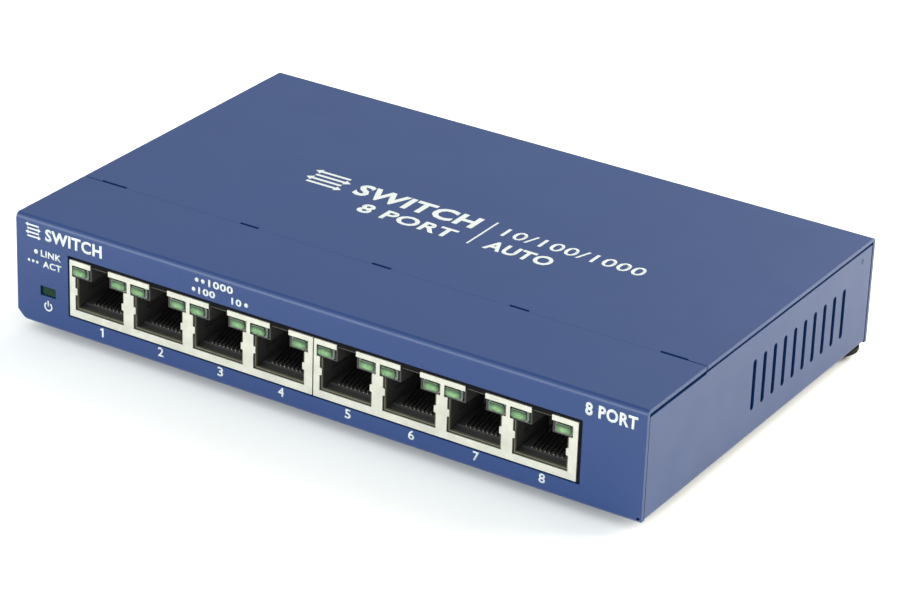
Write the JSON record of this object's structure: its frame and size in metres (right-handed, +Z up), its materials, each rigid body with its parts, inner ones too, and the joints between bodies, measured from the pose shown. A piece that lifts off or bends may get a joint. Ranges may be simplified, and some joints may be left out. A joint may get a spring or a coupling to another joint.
{
  "type": "desktop network switch",
  "caption": "Desktop network switch in a folded blue steel case, with a row of modular jacks and lamps in front, vented sides and a rear cover that slides off.",
  "frame": {"origin": "centre of the footprint, on the table under the feet", "axes": "+X to the right seen from the ports, +Y from the ports to the rear panel, +Z up"},
  "size_m": [0.158, 0.1022, 0.0284],
  "materials": {
    "case_paint": "semi-gloss blue powder coat with a fine orange-peel skin",
    "tin_plate": "bright tin plate, faintly cream",
    "steel_screw": "zinc-plated steel",
    "black_plastic": "glass-filled black moulding",
    "green_lens": "clear green lamp lens",
    "power_lens": "dark green lamp lens, unlit",
    "rubber": "matt black rubber",
    "board_laminate": "green solder mask",
    "chip_black": "moulded epoxy",
    "aluminium": "extruded, plain",
    "ferrite": "sintered ferrite",
    "capacitor_sleeve": "shrink sleeve"
  },
  "bodies": {
    "case": {"base_tray": "case_paint", "jack_shield_left": "tin_plate", "jack_housing_left": "black_plastic", "jack_shield_right": "tin_plate", "jack_housing_right": "black_plastic", "foot_front_left": "rubber", "foot_front_right": "rubber", "foot_rear_left": "rubber", "foot_rear_right": "rubber", "circuit_board": "board_laminate", "board_screw_1": "steel_screw", "board_standoff_1": "steel_screw", "transformer_1": "chip_black", "board_screw_2": "steel_screw", "board_standoff_2": "steel_screw", "transformer_2": "chip_black", "board_screw_3": "steel_screw", "board_standoff_3": "steel_screw", "transformer_3": "chip_black", "board_screw_4": "steel_screw", "board_standoff_4": "steel_screw", "transformer_4": "chip_black", "contact_insert_1": "black_plastic", "led_left_1": "green_lens", "led_right_1": "green_lens", "contact_insert_2": "black_plastic", "led_left_2": "green_lens", "led_right_2": "green_lens", "contact_insert_3": "black_plastic", "led_left_3": "green_lens", "led_right_3": "green_lens", "contact_insert_4": "black_plastic", "led_left_4": "green_lens", "led_right_4": "green_lens", "contact_insert_5": "black_plastic", "led_left_5": "green_lens", "led_right_5": "green_lens", "contact_insert_6": "black_plastic", "led_left_6": "green_lens", "led_right_6": "green_lens", "contact_insert_7": "black_plastic", "led_left_7": "green_lens", "led_right_7": "green_lens", "contact_insert_8": "black_plastic", "led_left_8": "green_lens", "led_right_8": "green_lens", "power_led": "power_lens", "dc_jack": "black_plastic", "switch_chip": "chip_black", "heatsink": "aluminium", "crystal": "steel_screw", "memory_chip": "chip_black", "regulator_chip": "chip_black", "capacitor_1": "capacitor_sleeve", "capacitor_2": "capacitor_sleeve", "inductor_1": "ferrite", "inductor_2": "ferrite"},
    "top_cover": {"top_cover": "case_paint"},
    "cover_screw_left": {"cover_screw_left": "steel_screw"},
    "cover_screw_right": {"cover_screw_right": "steel_screw"}
  },
  "joints": [
    {"name": "cover_slide", "type": "slide", "parent": "case", "child": "top_cover", "axis": [0, 1, 0], "range_m": [0, 0.08]},
    {"name": "cover_screw_left_withdraw", "type": "slide", "parent": "top_cover", "child": "cover_screw_left", "axis": [0, 1, 0], "range_m": [0, 0.008]},
    {"name": "cover_screw_right_withdraw", "type": "slide", "parent": "top_cover", "child": "cover_screw_right", "axis": [0, 1, 0], "range_m": [0, 0.008]}
  ]
}
